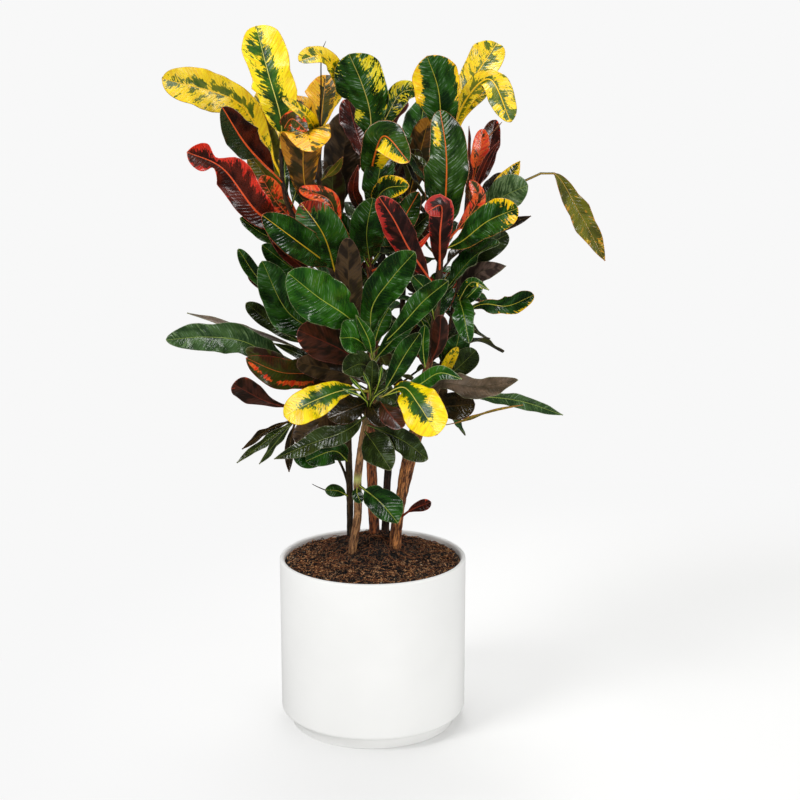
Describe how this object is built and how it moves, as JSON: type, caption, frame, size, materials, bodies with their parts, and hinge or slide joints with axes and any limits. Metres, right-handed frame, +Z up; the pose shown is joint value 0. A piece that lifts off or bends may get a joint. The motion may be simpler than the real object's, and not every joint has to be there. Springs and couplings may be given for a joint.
{
  "type": "potted croton",
  "caption": "Leafy croton plant with mottled green, yellow and red blades on woody stems, in a straight white planter that stands on a set-back foot.",
  "frame": {"origin": "middle of the pot's flat underside, where the plant stands", "axes": "+Z up along the pot's axis, -Y towards the side that the picture shows, +X to its right"},
  "size_m": [0.4849, 0.3344, 0.81],
  "materials": {
    "pot_glaze": "matte white",
    "coir_soil": "loose coir fibre",
    "foliage_front": "glossy leaf on pale bark",
    "foliage_left": "glossy leaf on dark bark",
    "foliage_centre": "glossy leaf on brown bark",
    "foliage_right": "glossy leaf on orange bark",
    "foliage_back": "glossy leaf on dark bark"
  },
  "bodies": {
    "root": {"pot": "pot_glaze", "soil": "coir_soil", "stem_front": "foliage_front", "stem_left": "foliage_left", "stem_centre": "foliage_centre", "stem_right": "foliage_right", "stem_back": "foliage_back"}
  },
  "joints": []
}
